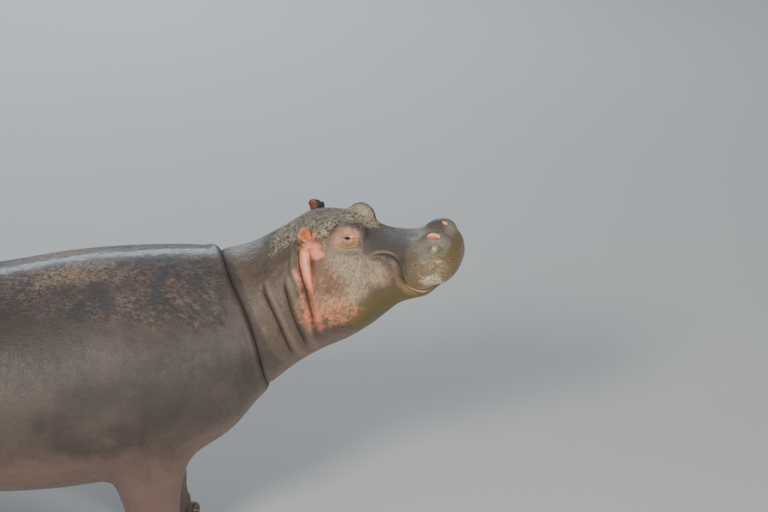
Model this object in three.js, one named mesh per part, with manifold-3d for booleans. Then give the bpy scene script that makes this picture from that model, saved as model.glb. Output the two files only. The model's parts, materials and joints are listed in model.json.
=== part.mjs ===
// A common hippopotamus, life size, standing still with its head raised level with its back and
// turned a little to its right. Millimetres, +X the way the trunk faces, +Y its left, +Z up.
//
// The whole animal is shaped straight, nose to rump along X, and symmetric about the XZ plane.
// Its flesh is joined, parted into named pieces by thin cuts, and only then is the neck bent,
// so that the cuts stay plain planes and the head keeps its own proportions.
import * as THREE from "three";
import { LoftGeometry } from "three/addons/geometries/LoftGeometry.js";
import { mergeVertices } from "three/addons/utils/BufferGeometryUtils.js";
import Module from "manifold-3d";

const wasm = await Module();
wasm.setup();

const { degToRad, lerp, clamp } = THREE.MathUtils;
const SIDES = { right: -1, left: 1 };
const GAP = 0.4; // clear space left between two neighbouring pieces

// ---------------------------------------------------------------- driving sizes

const RUMP_X = -1240; // hindmost point of the trunk
const NECK_X = 690; // the deep fold where the neck leaves the shoulders
const POLL_X = 980; // back of the skull, where the neck ends
const MUZZLE_X = 1640; // tip of the muzzle
const EYE_Z = 1415; // ears, eyes and nostrils all lie near this level
const HEAD_TURN = degToRad(-19); // the head's heading against the trunk's: negative is to its right
const HEAD_RAISE = degToRad(2); // how far the muzzle is lifted
const NECK_AXIS_Z = 1080; // height of the line the neck bends along

const SOLE_TOP = 150; // each foot ends here, at the wrist or ankle
const FRONT_FEET = { right: [345, -252], left: [430, 248] }; // places of the feet, X and Y
const HIND_FEET = { right: [-835, -246], left: [-930, 252] };

// ---------------------------------------------------------------- helpers

// A smooth line through a few [place, value] pairs, read at any place along it.
function line(...pairs) {
  const places = pairs.map(([place]) => place);
  const curve = new THREE.CubicInterpolant(places, pairs.map(([, value]) => value), 1);
  return (place) => curve.evaluate(clamp(place, places[0], places.at(-1)))[0];
}

// A closed geometry as a solid that can be joined and cut.
function solid(geometry) {
  const bare = new THREE.BufferGeometry()
    .setAttribute("position", geometry.attributes.position)
    .setIndex(geometry.index);
  const merged = mergeVertices(bare, 1e-3);
  return new wasm.Manifold(
    new wasm.Mesh({
      numProp: 3,
      vertProperties: merged.attributes.position.array,
      triVerts: new Uint32Array(merged.index.array),
    }),
  );
}

function geometryOf(body) {
  const { vertProperties, triVerts } = body.getMesh();
  return new THREE.BufferGeometry()
    .setAttribute("position", new THREE.BufferAttribute(new Float32Array(vertProperties), 3))
    .setIndex(new THREE.BufferAttribute(new Uint32Array(triVerts), 1));
}

const joined = (bodies) => bodies.reduce((all, one) => all.add(one));

// A box from its lowest to its highest corner.
function block(low, high) {
  const [a, b] = [new THREE.Vector3(...low), new THREE.Vector3(...high)];
  const size = b.clone().sub(a);
  const middle = a.add(b).multiplyScalar(0.5);
  return solid(new THREE.BoxGeometry(...size).translate(...middle));
}

// An ellipsoid with its three half sizes, turned about X, Y and Z in degrees.
function ellipsoid(centre, halves, turn = [0, 0, 0], rows = 9) {
  const place = new THREE.Matrix4().compose(
    new THREE.Vector3(...centre),
    new THREE.Quaternion().setFromEuler(new THREE.Euler(...turn.map(degToRad), "ZYX")),
    new THREE.Vector3(...halves),
  );
  return solid(new THREE.SphereGeometry(1, rows * 2, rows).applyMatrix4(place));
}

// The same shape on both sides of the body.
const bothSides = (shape) => Object.values(SIDES).map((side) => shape(side));

// A point of a rounded square: 2 gives an ellipse, and more gives squarer corners.
const rounded = (part, power) => Math.sign(part) * Math.abs(part) ** (2 / power);

// ---------------------------------------------------------------- trunk, neck and upper head

// Heights and half widths along the body. Those of the head are given from its own point, the
// middle of the back of the skull at eye level.
const head = (pairs) => pairs.map(([forward, up]) => [POLL_X + forward, EYE_Z + up]);
const headWidth = (pairs) => pairs.map(([forward, half]) => [POLL_X + forward, half]);

const BACK = line(
  [RUMP_X, 1150], [-1050, 1264], [-760, 1320], [-520, 1300], [-300, 1280], [-150, 1300], [0, 1324],
  [150, 1338], [360, 1337], [540, 1335], [NECK_X, 1306], [770, 1322], [850, 1366], [915, 1406],
  ...head([
    [0, 38], [60, 62], [130, 68], [225, 50], [285, 18], [340, -10], [430, -24], [510, -18],
    [570, -6], [660, -26],
  ]),
);
const BELLY = line(
  [RUMP_X, 690], [-1050, 520], [-800, 430], [-420, 375], [-50, 365], [280, 405], [520, 480],
  [NECK_X, 585], [840, 735],
  ...head([
    [0, -565], [110, -502], [220, -448], [300, -380], [385, -215], [450, -172], [520, -192],
    [590, -190], [660, -160],
  ]),
);
const HALF_WIDTH = line(
  [RUMP_X, 320], [-1050, 415], [-760, 470], [-380, 508], [0, 515], [300, 488], [520, 428],
  [NECK_X, 362], [840, 305],
  ...headWidth([
    [0, 262], [100, 232], [200, 214], [280, 186], [360, 158], [430, 154], [490, 172], [560, 192],
    [620, 198], [660, 192],
  ]),
);
const WIDEST_Z = line(
  [RUMP_X, 920], [-760, 850], [0, 800], [500, 850], [NECK_X, 900],
  ...head([[0, -270], [170, -225], [280, -180], [360, -118], [440, -110], [560, -125], [660, -120]]),
);
const SQUARENESS = line([RUMP_X, 2], [NECK_X, 2], [1200, 2.25], [1420, 2.5], [MUZZLE_X, 2.7]);

const RUMP_ROUNDING = 300; // length over which the rump closes
const MUZZLE_ROUNDING = 105; // and the muzzle
const RUMP_POWER = 2.3;
const MUZZLE_POWER = 2.9;

// Where the sections stand along the body, each with how far it has closed towards the tip.
function stations() {
  const tipSteps = 6;
  const tip = (end, inward, power) =>
    Array.from({ length: tipSteps }, (_, i) => {
      const angle = ((i + 0.35) / tipSteps) * (Math.PI / 2);
      return {
        x: end + inward * (1 - Math.cos(angle) ** (2 / power)),
        open: Math.sin(angle) ** (2 / power),
      };
    });
  const from = RUMP_X + RUMP_ROUNDING;
  const to = MUZZLE_X - MUZZLE_ROUNDING;
  const between = [];
  for (let x = from; x < to; x += x < 560 ? 150 : x < 1000 ? 75 : 44) between.push({ x, open: 1 });
  return [
    ...tip(RUMP_X, RUMP_ROUNDING, RUMP_POWER),
    ...between,
    ...tip(MUZZLE_X, -MUZZLE_ROUNDING, MUZZLE_POWER).reverse(),
  ];
}

// One section of the body: an outline of rounded squares that meet at its widest level.
function section({ x, open }, lines, grow, columns) {
  const level = lines.widest(x);
  const up = (lines.top(x) - level) * open + grow;
  const down = (level - lines.bottom(x)) * open + grow;
  const out = lines.half(x) * open + grow;
  const power = lines.power(x);
  return Array.from({ length: columns }, (_, i) => {
    const angle = (i / columns) * 2 * Math.PI;
    const height = rounded(Math.sin(angle), power);
    return new THREE.Vector3(
      x,
      out * rounded(Math.cos(angle), power),
      level + (height > 0 ? up : down) * height,
    );
  });
}

const BODY_LINES = {
  top: BACK, bottom: BELLY, half: HALF_WIDTH, widest: WIDEST_Z, power: SQUARENESS,
};

// The barrel of the trunk, the neck and the upper head as one smooth solid.
function bodyTube(grow = 0) {
  const sections = stations().map((station) => section(station, BODY_LINES, grow, 24));
  return solid(new LoftGeometry(sections, { capStart: true, capEnd: true }));
}

// ---------------------------------------------------------------- head

const JAW_FROM = POLL_X + 105;
const JAW_TIP = POLL_X + 590;
const JAW_LINES = {
  top: line(...head([[105, -130], [310, -64], [400, -66], [445, -110], [490, -168], [590, -176]])),
  bottom: line(...head([[105, -470], [200, -450], [290, -402], [340, -360], [390, -312], [480, -268], [590, -230]])),
  half: line(...headWidth([[105, 200], [200, 207], [290, 186], [360, 163], [450, 151], [520, 158], [590, 154]])),
  widest: line(...head([[105, -280], [290, -225], [400, -172], [490, -202], [590, -202]])),
  power: line([JAW_FROM, 2.1], [JAW_TIP, 2.5]),
};

// The lower jaw and throat, under the lips.
function jawFlesh() {
  const rows = 9;
  const closing = 90;
  const places = Array.from({ length: rows }, (_, i) => {
    const x = lerp(JAW_FROM, JAW_TIP, i / (rows - 1));
    const left = clamp((JAW_TIP - x) / closing, 0, 1);
    return { x, open: Math.max(0.3, Math.sqrt(1 - (1 - left) ** 2.4)) };
  });
  const sections = places.map((place) => section(place, JAW_LINES, 0, 18));
  return solid(new LoftGeometry(sections, { capStart: true, capEnd: true }));
}

const EYE_X = POLL_X + 225;
const EYE_Y = 141;
const EYE_RADIUS = 20;

// An ellipsoid on each side of the head, placed from the head's own point.
const onHead = ([forward, side, up], halves, [roll, pitch, yaw], rows) =>
  bothSides((s) =>
    ellipsoid([POLL_X + forward, s * side, EYE_Z + up], halves, [s * roll, pitch, s * yaw], rows),
  );

// Raised rims of the eyes and nostrils, the overhanging lips, the lower lip and the cheeks.
const headForms = () => [
  ...onHead([232, 96, 0], [66, 61, 74], [0, 4, 8], 6),
  ...onHead([560, 66, -22], [72, 46, 48], [14, 0, -8], 5),
  ...onHead([524, 104, -108], [132, 105, 89], [0, -15, -6], 6),
  ...onHead([384, 106, -140], [82, 56, 72], [0, 14, 0], 5),
  ...onHead([165, 128, -262], [160, 98, 165], [0, 18, 0], 6),
];

// The slits of the nostrils, to be cut away.
const nostrils = () => onHead([570, 76, 12], [27, 8, 16], [-20, 0, -14], 4);

// The lower jaw's region seen from the side: under the lips and in front of the cheeks.
function jawRegion(shrink) {
  const at = (forward, up) => new THREE.Vector2(POLL_X + forward, EYE_Z + up - shrink);
  const beyond = { front: 720, under: -580 };
  const corner = at(317 + shrink, -59);
  const outline = new THREE.Shape();
  outline.moveTo(corner.x, corner.y);
  outline.lineTo(...at(405, -61));
  outline.splineThru([
    at(432 - shrink, -100), at(440 - shrink, -140), at(460 - shrink, -174),
    at(510, -196), at(570, -194), at(beyond.front, -170),
  ]);
  outline.lineTo(...at(beyond.front, beyond.under));
  outline.lineTo(...at(210 + shrink, beyond.under));
  outline.splineThru([at(235 + shrink, -380), at(275 + shrink, -200), corner]);
  const depth = 700;
  const side = new THREE.ExtrudeGeometry(outline, { depth, bevelEnabled: false, curveSegments: 4 });
  // The outline's own plane is turned upright: its X stays, and its Y becomes Z.
  return solid(side.rotateX(Math.PI / 2).translate(0, depth / 2, 0));
}

const EAR = { length: 96, width: 70, hollow: 24, thick: 12 };
// How each ear is turned, in degrees, and where its middle is: in front of the back of the skull,
// aside from the middle plane, and above the eyes. The left one is laid back.
const EAR_POSE = {
  right: { facing: [-28, -8, -52], at: [58, 184, 14] },
  left: { facing: [28, -14, 118], at: [37, 168, 32] },
};

// One ear: a rounded leaf on a short root. The leaf is cupped and its thickness runs out at its
// rim. The side that it is hollow on faces +X before it is turned.
function ear(side) {
  const leaf = new THREE.SphereGeometry(1, 12, 6).rotateX(Math.PI / 2);
  const points = leaf.attributes.position;
  for (let i = 0; i < points.count; i++) {
    const [front, across, up] = [points.getX(i), points.getY(i), points.getZ(i)];
    const spread = across ** 2 + up ** 2;
    points.setXYZ(
      i,
      front * EAR.thick - EAR.hollow * (1 - spread),
      (across * EAR.width) / 2,
      (up * EAR.length) / 2,
    );
  }
  const { facing, at: [forward, aside, raised] } = EAR_POSE[side];
  const turn = new THREE.Matrix4().makeRotationFromEuler(
    new THREE.Euler(...facing.map(degToRad), "XYZ"),
  );
  const placed = (inwards, down) =>
    [POLL_X + forward, SIDES[side] * (aside - inwards), EYE_Z + raised - down];
  const root = ellipsoid(placed(18, 22), [19, 24, 28], [0, 0, 0], 4);
  return joined([solid(leaf.applyMatrix4(turn).translate(...placed(0, 0))), root]);
}

// ---------------------------------------------------------------- legs, feet and tail

// A limb: an upright loft through [z, x, y, half length, half width] rows, lowest first.
function limb(rows, steps = 8, columns = 14) {
  const heights = rows.map(([z]) => z);
  const [x, y, long, wide] = [1, 2, 3, 4].map((k) => line(...rows.map((row) => [row[0], row[k]])));
  const sections = Array.from({ length: steps }, (_, i) => {
    const z = lerp(heights[0], heights.at(-1), i / (steps - 1));
    return Array.from({ length: columns }, (_, j) => {
      const angle = (j / columns) * 2 * Math.PI;
      return new THREE.Vector3(
        x(z) + long(z) * Math.cos(angle),
        y(z) + wide(z) * Math.sin(angle),
        z,
      );
    });
  });
  return solid(new LoftGeometry(sections, { capStart: true, capEnd: true }));
}

const ANKLE = { long: 96, wide: 91 };

function frontLeg([x, y], side) {
  return limb([
    [SOLE_TOP + GAP, x, y, ANKLE.long, ANKLE.wide],
    [250, x - 12, y + side * 2, 106, 98],
    [400, x - 32, y + side * 8, 134, 116],
    [560, x - 18, y + side * 14, 168, 142],
    [820, x + 20, y + side * 6, 205, 150],
  ]);
}

function hindLeg([x, y], side) {
  return limb([
    [SOLE_TOP + GAP, x, y, ANKLE.long, ANKLE.wide],
    [260, x - 38, y + side * 4, 108, 96],
    [400, x - 8, y + side * 16, 150, 122],
    [570, x + 25, y + side * 26, 205, 150],
    [820, x - 20, y + side * 20, 250, 160],
  ]);
}

const TOE_ANGLES = [-62, -21, 21, 62]; // round the front of the foot, in degrees
const TOE_Z = 34;
const TOE_REACH = 80; // from the middle of the foot to the middle of a toe
const TOE_HALVES = [66, 41, 46];
const NAIL_REACH = 122; // and to the root of its nail
const NAIL_HALVES = [32, 29, 28];

const onToe = (body, angle) => body.translate([0, 0, TOE_Z]).rotate([0, 0, angle]);
const beyond = (reach) => block([reach, -60, -100], [300, 60, 100]);

// A foot about its own centre: the pad and four toes over a flat sole, each toe cut off square
// where its nail grows.
function foot() {
  const pad = limb([
    [-12, -6, 0, 104, 100],
    [30, -2, 0, 110, 104],
    [80, 0, 0, 104, 98],
    [SOLE_TOP, 0, 0, ANKLE.long, ANKLE.wide],
  ], 4);
  const toe = ellipsoid([TOE_REACH, 0, 0], TOE_HALVES, [0, 14, 0], 5).subtract(beyond(NAIL_REACH));
  const toes = TOE_ANGLES.map((angle) => onToe(toe, angle));
  return joined([pad, ...toes]).subtract(block([-300, -300, -100], [300, 300, 0]));
}

// A nail about the same centre: a thick rounded plate on the front of its toe.
const nail = (angle) =>
  onToe(ellipsoid([NAIL_REACH, 0, 0], NAIL_HALVES, [0, 0, 0], 5).intersect(beyond(NAIL_REACH + GAP)), angle);

// The tail: a short flat paddle that hangs from the rump.
function tail() {
  const rows = [
    [660, 72, 6, 5], [685, 74, 24, 12], [760, 72, 36, 17], [860, 64, 34, 24],
    [960, 45, 42, 36], [1050, 5, 56, 50], [1110, -50, 60, 56],
  ];
  return limb(rows.map(([z, behind, long, wide]) => [z, RUMP_X - behind, 0, long, wide]), 8, 10);
}

// ---------------------------------------------------------------- the bent neck

// A point of the straight animal where it lies once the neck is bent. The bend is an arc from the
// neck's fold to the poll, and everything in front of the poll moves as one.
function bend(point) {
  const neck = POLL_X - NECK_X;
  const along = clamp((point.x - NECK_X) / neck, 0, 1);
  const heading = (share) =>
    new THREE.Quaternion().setFromEuler(new THREE.Euler(0, -HEAD_RAISE * share, HEAD_TURN * share, "ZYX"));
  const forward = (share, length) => new THREE.Vector3(length, 0, 0).applyQuaternion(heading(share));
  const axis = new THREE.Vector3(Math.min(point.x, NECK_X), 0, NECK_AXIS_Z)
    .add(forward(along / 2, neck * along))
    .add(forward(1, Math.max(point.x - POLL_X, 0)));
  return new THREE.Vector3(0, point.y, point.z - NECK_AXIS_Z).applyQuaternion(heading(along)).add(axis);
}

function bent(geometry) {
  const points = geometry.attributes.position;
  const point = new THREE.Vector3();
  for (let i = 0; i < points.count; i++) {
    points.setXYZ(i, ...bend(point.fromBufferAttribute(points, i)));
  }
  return geometry;
}

// ---------------------------------------------------------------- finishes

const finish = (color, roughness) => new THREE.MeshStandardMaterial({ color, roughness, metalness: 0 });
const HIDE = finish(0x64574f, 0.5);
const PALE_HIDE = finish(0xb98a72, 0.55);
const EYE_FINISH = finish(0x2a1a10, 0.1);
const NAIL_FINISH = finish(0x3d3833, 0.45);

// ---------------------------------------------------------------- assembly

const hippopotamus = new THREE.Group();

function place(name, geometry, material, parent = hippopotamus) {
  const mesh = new THREE.Mesh(geometry, material);
  mesh.name = name;
  parent.add(mesh);
  return mesh;
}

// Everything between two planes across the body.
const between = (from, to) => block([from, -1000, 0], [to, 1000, 2000]);

const eyeball = (side, grow = 0) =>
  ellipsoid([EYE_X + 4, side * EYE_Y, EYE_Z + 4], [1, 1, 1].map((one) => one * (EYE_RADIUS + grow)), [0, 0, 0], 6);

const tube = bodyTube();
const sockets = joined([...bothSides((s) => eyeball(s, GAP)), ...nostrils()]);
const headFlesh = joined([tube, jawFlesh(), ...headForms()]).subtract(sockets);
const jaw = headFlesh.intersect(jawRegion(GAP));
const skull = headFlesh.intersect(between(POLL_X + GAP, 2000)).subtract(jawRegion(0));

place("trunk", bent(geometryOf(tube.intersect(between(-2000, NECK_X - GAP)))), HIDE);
place("neck", bent(geometryOf(headFlesh.intersect(between(NECK_X, POLL_X)))), HIDE);
place("head", bent(geometryOf(skull)), HIDE);
place("lower_jaw", bent(geometryOf(jaw)), HIDE);

const grownHead = joined([bodyTube(GAP), headFlesh]);
for (const [name, side] of Object.entries(SIDES)) {
  place(`ear_${name}`, bent(geometryOf(ear(name).subtract(grownHead))), PALE_HIDE);
  place(`eye_${name}`, bent(geometryOf(eyeball(side))), EYE_FINISH);
}

const grownTrunk = bodyTube(GAP);
place("tail", geometryOf(tail().subtract(grownTrunk)), HIDE);

const limbs = { front: [FRONT_FEET, frontLeg], hind: [HIND_FEET, hindLeg] };
for (const [end, [feet, leg]] of Object.entries(limbs)) {
  for (const [name, [x, y]] of Object.entries(feet)) {
    place(`leg_${end}_${name}`, geometryOf(leg([x, y], SIDES[name]).subtract(grownTrunk)), HIDE);
    const stance = new THREE.Group();
    stance.position.set(x, y, 0);
    hippopotamus.add(stance);
    place(`foot_${end}_${name}`, geometryOf(foot()), HIDE, stance);
    TOE_ANGLES.forEach((angle, i) => {
      place(`nail_${end}_${name}_${i + 1}`, geometryOf(nail(angle)), NAIL_FINISH, stance);
    });
  }
}

// The origin is on the floor under the middle of the animal's box.
const box = new THREE.Box3().setFromObject(hippopotamus, true);
const middle = box.getCenter(new THREE.Vector3());
hippopotamus.position.set(-middle.x, -middle.y, 0);

export default hippopotamus;
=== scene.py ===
# %% [markdown]
# # A life-size hippopotamus
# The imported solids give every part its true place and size. This script dresses them: one skin
# over all the flesh, eyes, nails and bristles, and a plain studio to see them in. All places are
# in metres in the solids' own frame, +X the way the trunk faces and +Z up.

import json
import math

import bpy
import numpy as np
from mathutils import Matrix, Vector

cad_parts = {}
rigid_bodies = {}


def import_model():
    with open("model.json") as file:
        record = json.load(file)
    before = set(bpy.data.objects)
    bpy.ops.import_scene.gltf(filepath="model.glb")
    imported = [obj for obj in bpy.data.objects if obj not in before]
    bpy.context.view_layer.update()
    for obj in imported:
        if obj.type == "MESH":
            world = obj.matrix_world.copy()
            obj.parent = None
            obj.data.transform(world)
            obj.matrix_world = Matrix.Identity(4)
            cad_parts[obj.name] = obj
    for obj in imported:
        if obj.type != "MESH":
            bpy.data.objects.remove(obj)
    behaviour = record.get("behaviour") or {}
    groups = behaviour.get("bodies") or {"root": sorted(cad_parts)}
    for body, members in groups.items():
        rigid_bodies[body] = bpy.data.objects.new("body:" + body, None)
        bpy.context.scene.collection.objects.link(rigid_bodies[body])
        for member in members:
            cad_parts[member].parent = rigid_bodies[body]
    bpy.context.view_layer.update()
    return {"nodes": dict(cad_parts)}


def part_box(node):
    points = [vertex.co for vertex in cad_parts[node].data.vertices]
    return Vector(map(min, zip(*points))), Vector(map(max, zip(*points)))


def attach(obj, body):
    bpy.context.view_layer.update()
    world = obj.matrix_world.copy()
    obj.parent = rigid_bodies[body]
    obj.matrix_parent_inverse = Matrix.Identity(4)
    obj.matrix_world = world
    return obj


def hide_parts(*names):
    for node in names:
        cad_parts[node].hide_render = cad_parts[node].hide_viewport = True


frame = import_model()
solids = frame["nodes"]

# %% [markdown]
# ## The straight animal
# The neck is bent, which makes a fold or a mouth hard to place. So all shaping is done on the
# animal as if its neck were straight, in millimetres, with X along the body from the middle of
# the trunk. The two functions below straighten the neck and bend it again. The bend is an arc
# between the fold at the shoulders and the back of the skull.

# %% Straighten and bend
GAP = 0.4  # the clear space between two neighbouring solids
NECK_X, POLL_X, EYE_Z = 690.0, 980.0, 1415.0  # the neck's two ends, and the level of the eyes
AXIS_Z = 1080.0  # the line the neck bends along
TURN, RAISE = math.radians(-19), math.radians(2)
SHIFT = np.array([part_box("trunk")[1].x * 1000 - (NECK_X - GAP), 0, 0])
HALVINGS = 44  # enough to find a place along the body far finer than a hair


def heading(share):
    """The neck's rotation at a share of its length, one 3 by 3 matrix for each."""
    turn, lift = TURN * share, -RAISE * share
    c, s, a, b = np.cos(turn), np.sin(turn), np.cos(lift), np.sin(lift)
    zero = np.zeros_like(share)
    rows = [[c * a, -s, c * b], [s * a, c, s * b], [-b, zero, a]]
    return np.moveaxis(np.array(rows), 2, 0)


def neck_axis(x):
    """Where the line through the animal lies once it is bent, and its rotation there."""
    neck = POLL_X - NECK_X
    share = np.clip((x - NECK_X) / neck, 0, 1)
    base = np.stack([np.minimum(x, NECK_X), 0 * x, 0 * x + AXIS_Z], 1)
    base += heading(share / 2)[:, :, 0] * (neck * share)[:, None]
    base += heading(np.ones_like(x))[:, :, 0] * np.maximum(x - POLL_X, 0)[:, None]
    return base, heading(share)


def bend(straight):
    """Straight points in millimetres to their place in the frame, in metres."""
    axis, turned = neck_axis(straight[:, 0])
    across = np.stack([0 * straight[:, 0], straight[:, 1], straight[:, 2] - AXIS_Z], 1)
    return (np.einsum("nij,nj->ni", turned, across) + axis + SHIFT) / 1000


def straighten(placed):
    """The other way round: the place along the body is found by halving."""
    p = np.asarray(placed, float) * 1000 - SHIFT
    low, high = np.full(len(p), -3000.0), np.full(len(p), 3000.0)
    for _ in range(HALVINGS):
        x = (low + high) / 2
        axis, turned = neck_axis(x)
        ahead = np.einsum("ni,ni->n", turned[:, :, 0], p - axis) > 0
        low, high = np.where(ahead, x, low), np.where(ahead, high, x)
    across = np.einsum("nij,ni->nj", turned, p - axis)
    return np.stack([x, across[:, 1], across[:, 2] + AXIS_Z], 1)


trial = np.array([[900.0, 120.0, 1300.0], [1500.0, -90.0, 1400.0]])
print("bending there and back is off by", np.abs(straighten(bend(trial)) - trial).max().round(9), "mm")

# %% [markdown]
# ## One skin
# A real hide runs from the lips to the tail without a seam, while the solids are cut apart. They
# could be joined with booleans, but their flat facets would stay. Here copies of them are joined
# and wrapped in one new net of small squares, the Remesh modifier. The head needs a finer net
# than the trunk, so before wrapping the animal is stretched, the head most, and afterwards it is
# let back to its own size. The thin tail gets a finer net in the same way.

# %% Copy and join the flesh
def select_only(*chosen):
    """Selects these objects and nothing else, and makes the first one active."""
    bpy.ops.object.select_all(action="DESELECT")
    for one in chosen:
        one.select_set(True)
    bpy.context.view_layer.objects.active = chosen[0]


def apply(piece, kind, **settings):
    """Adds a modifier, applies it, and clears the weights it may have used."""
    select_only(piece)
    bpy.ops.object.modifier_add(type=kind)
    modifier = piece.modifiers[-1]
    for name, value in settings.items():
        setattr(modifier, name, value)
    bpy.ops.object.modifier_apply(modifier=modifier.name)
    piece.vertex_groups.clear()


flesh = [name for name in solids if not name.startswith("nail")]
select_only(*(solids[name] for name in flesh))
bpy.ops.object.duplicate()
bpy.ops.object.join()
skin = bpy.context.object
bpy.ops.object.parent_clear(type="CLEAR_KEEP_TRANSFORM")
skin.name = skin.data.name = "skin"
skin.data.materials.clear()
print("joined", len(flesh), "solids,", len(skin.data.polygons), "faces")

# %% Read and write the net's points
def read(items, name):
    """One property of all points or faces, as rows of three numbers."""
    found = np.empty(len(items) * 3)
    items.foreach_get(name, found)
    return found.reshape(-1, 3)


def points_of(piece):
    return read(piece.data.vertices, "co")


def normals_of(piece):
    return read(piece.data.vertices, "normal")


def set_points(piece, points):
    piece.data.vertices.foreach_set("co", np.ascontiguousarray(points, dtype=np.float64).ravel())
    piece.data.update()

# %% Soft steps, soft humps and outlines
def ease(low, high, value):
    """0 below low and 1 above high, with a smooth rise between."""
    share = np.clip((value - low) / (high - low), 0, 1)
    return share * share * (3 - 2 * share)


def hump(off, width):
    """1 where `off` is 0, dying away on both sides."""
    return np.exp(-((off / width) ** 2))


def outline(value, *corners):
    """The height at each value of a line through corners, each (along, up)."""
    return np.interp(value, *zip(*corners))


def unit(way):
    """The same direction with length 1, for one direction or rows of them."""
    return way / np.linalg.norm(way, axis=-1, keepdims=True)


print("halfway up a step is", ease(0, 10, 5.0), "and a width from a hump's top is", round(hump(1.0, 1), 2))

# %% Wrap it in one net, finest at the head and the tail
CELL = 0.0218  # metres on the trunk
ladder = np.arange(-2000.0, 2501)  # a rung for each millimetre along the body
gain = 1 + 1.4 * ease(600, 960, ladder) + ease(-1225, -1275, ladder)
reach = np.concatenate([[0], np.cumsum((gain[1:] + gain[:-1]) / 2)])


def stretched(points):
    """Straight points in millimetres to the stretched animal, in metres."""
    by = np.interp(points[:, 0], ladder, gain)
    x = np.interp(points[:, 0], ladder, reach)
    return np.stack([x, points[:, 1] * by, (points[:, 2] - AXIS_Z) * by], 1) / 1000


def let_back(points):
    """Points of the stretched animal, in metres, to straight millimetres."""
    x = np.interp(points[:, 0] * 1000, reach, ladder)
    by = np.interp(x, ladder, gain) / 1000
    return np.stack([x, points[:, 1] / by, points[:, 2] / by + AXIS_Z], 1)


solid_points = straighten(points_of(skin))
bpy.ops.object.duplicate()
build = bpy.context.object
build.name = "build"
set_points(build, solid_points / 1000)
set_points(skin, stretched(solid_points))
apply(skin, "REMESH", mode="VOXEL", voxel_size=CELL)
shape = let_back(points_of(skin))
set_points(skin, shape / 1000)
print("one net of", len(skin.data.polygons), "squares")

# %% [markdown]
# The net still shows the solids' facets as faint flats. A Smooth modifier irons them out, and a
# vertex group says where: the big facets of the trunk take many passes, and the head, legs and
# ears few, because smoothing also shrinks what is thin.

# %% Weights for the points
LEVELS = 10  # how many steps a weight has


def group(piece, weights):
    """Makes a vertex group from one weight for each point, and gives its name."""
    made = piece.vertex_groups.new(name="where")
    for level in range(1, LEVELS + 1):
        chosen = np.flatnonzero(np.rint(weights * LEVELS) == level)
        made.add([int(i) for i in chosen], level / LEVELS, "REPLACE")
    return made.name


def iron(passes, where=None):
    """Smooths the skin all over, or as far as the weights say."""
    place = {} if where is None else {"vertex_group": group(skin, where)}
    apply(skin, "SMOOTH", factor=0.5, iterations=passes, **place)


HEAD_HALF_WIDTH, HEAD_MIDDLE, HEAD_HALF_HEIGHT = 245, 1145, 332  # an oval round the skull


def ears(x, y, z, least=9):
    """1 on the leaves of the ears and 0 off them, in straight millimetres: what stands off the
    side of the head there. The left ear is laid back."""
    head_side = HEAD_HALF_WIDTH * np.sqrt(np.clip(1 - ((z - HEAD_MIDDLE) / HEAD_HALF_HEIGHT) ** 2, 0, 1))
    off = ease(least, least + 11, abs(y) - np.maximum(head_side, 120))
    right = (y < 0) * ease(1384, 1396, z) * ease(985, 1000, x) * ease(1110, 1080, x)
    left = (y > 0) * ease(1404, 1418, z) * ease(950, 965, x) * ease(1082, 1064, x)
    return off * (left + right)

# %% Iron out the facets
x, y, z = shape.T
on_trunk = ease(620, 420, x) * ease(430, 620, z) * ease(-1275, -1200, x)
on_neck = ease(420, 620, x) * ease(1010, 900, x)
on_cheek = ease(850, 950, x) * ease(1440, 1400, x) * ease(1370, 1310, z)
on_muzzle = ease(1400, 1460, x) * ease(1340, 1400, z)
off_ears = 1 - ears(x, y, z)
off_tail = ease(-1270, -1235, x)
off_feet = ease(90, 170, z)
for passes, where in ((110, on_trunk), (70, on_neck), (40, on_cheek), (36, on_muzzle),
                      (10, off_ears * off_tail * off_feet)):
    iron(passes, where)
iron(2)
moved = np.linalg.norm(points_of(skin) * 1000 - shape, axis=1)
print("ironing moved the skin by", round(moved.mean(), 1), "mm, and at most", round(moved.max()), "mm")

# %% [markdown]
# ## Finer squares where the detail is
# Eyelids, nostrils, lips and folds need a closer net than a flank does. A Subdivision Surface
# would halve every square. So only the faces that need it are picked, by where they lie, and the
# subdivide operator halves those. Both sides of the animal are treated as one half, by taking the
# distance from the middle plane, so a detail that both sides share is made once.

# %% Read the animal as one half
def half():
    """The points in straight millimetres and their outward directions, with the right side
    mirrored onto the left, and what turns them back."""
    points, out = points_of(skin) * 1000, normals_of(skin)
    flip = np.ones_like(points)
    flip[:, 1] = np.where(points[:, 1] < 0, -1, 1)
    return points * flip, out * flip, flip


def middle(node):
    """The middle of a solid, in straight millimetres."""
    low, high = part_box(node)
    return straighten([list((low + high) / 2)])[0]


EYE = abs(middle("eye_right"))
EYE_RADIUS = (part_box("eye_right")[1].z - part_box("eye_right")[0].z) * 500
FEET = {f"{end}_{side}": middle(f"foot_{end}_{side}") for end in ("front", "hind")
        for side in ("left", "right")}
print("eye", EYE.round(), "of radius", round(EYE_RADIUS), "and feet", [p.round() for p in FEET.values()])

# %% Where the folds, the mouth and the nostrils are
def trace(points, step=5.0):
    """A smooth line through a few points (x, z), with a point every few millimetres."""
    p = np.array(points, float)
    p = np.vstack([2 * p[0] - p[1], p, 2 * p[-1] - p[-2]])
    found = []
    for a, b, c, d in zip(p, p[1:], p[2:], p[3:]):
        t = np.arange(0, 1, step / np.hypot(*(c - b)))[:, None]
        found.append(b + 0.5 * t * (c - a + t * (2 * a - 5 * b + 4 * c - d + t * (3 * b - a - 3 * c + d))))
    return np.vstack([*found, p[-2:-1]])


def on_head(*pairs):
    """Points given forward of the back of the skull and above the level of the eyes."""
    return [(POLL_X + forward, EYE_Z + up) for forward, up in pairs]


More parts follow.
